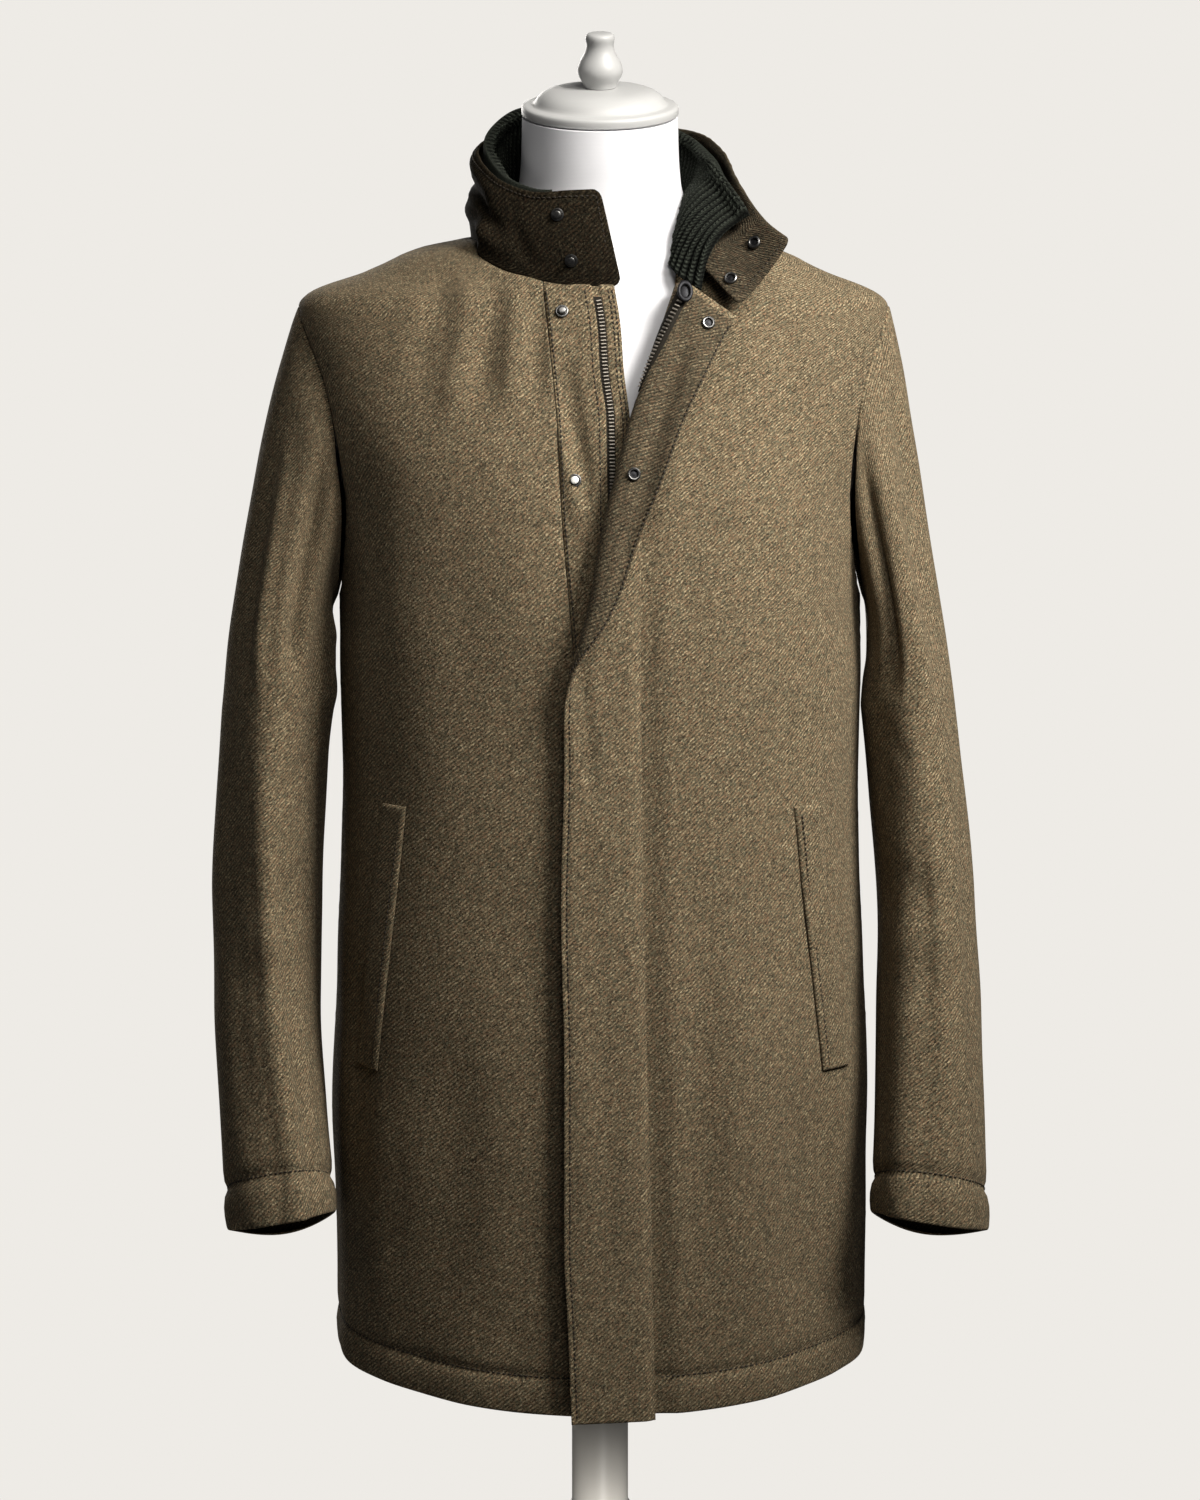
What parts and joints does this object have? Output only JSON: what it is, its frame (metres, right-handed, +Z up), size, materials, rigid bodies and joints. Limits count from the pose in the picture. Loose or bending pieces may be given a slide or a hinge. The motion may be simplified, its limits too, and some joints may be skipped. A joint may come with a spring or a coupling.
{
  "type": "winter coat on a dress form stand",
  "caption": "Padded wool winter coat with a stand collar, ribbed knit inner collar and fly front, worn open at the neck on a white dress form with a turned cap, pole and round base.",
  "frame": {"origin": "centre of the stand base's underside, on the floor", "axes": "+Z up along the pole; the coat faces -Y; +X is the wearer's left"},
  "size_m": [0.5785, 0.38, 1.5999],
  "materials": {
    "wool": "brushed melange wool twill, olive brown",
    "facing": "the same wool, dark facing",
    "rib_knit": "dark green-grey ribbed wool knit",
    "thread": "matching sewing thread",
    "gunmetal": "dark plated metal, half polished",
    "white_jersey": "white jersey cover, smooth",
    "white_paint": "turned wood, white satin paint",
    "pole_enamel": "pale grey satin enamel"
  },
  "bodies": {
    "root": {"front_right": "wool", "underlap_right": "wool", "front_left": "wool", "placket_left": "wool", "facing_left": "facing", "back": "wool", "sleeve_right": "wool", "sleeve_left": "wool", "collar": "wool", "rib_collar": "rib_knit", "pocket_welt_right": "wool", "pocket_welt_left": "wool", "zip_right": "gunmetal", "zip_left": "gunmetal", "zip_slider": "gunmetal", "stud_1": "gunmetal", "stud_2": "gunmetal", "stud_3": "gunmetal", "stud_4": "gunmetal", "socket_1": "gunmetal", "socket_2": "gunmetal", "socket_3": "gunmetal", "socket_4": "gunmetal", "form_torso": "white_jersey", "form_cap": "white_paint", "form_finial": "white_paint", "stand_pole": "pole_enamel", "stand_base": "pole_enamel"}
  },
  "joints": []
}
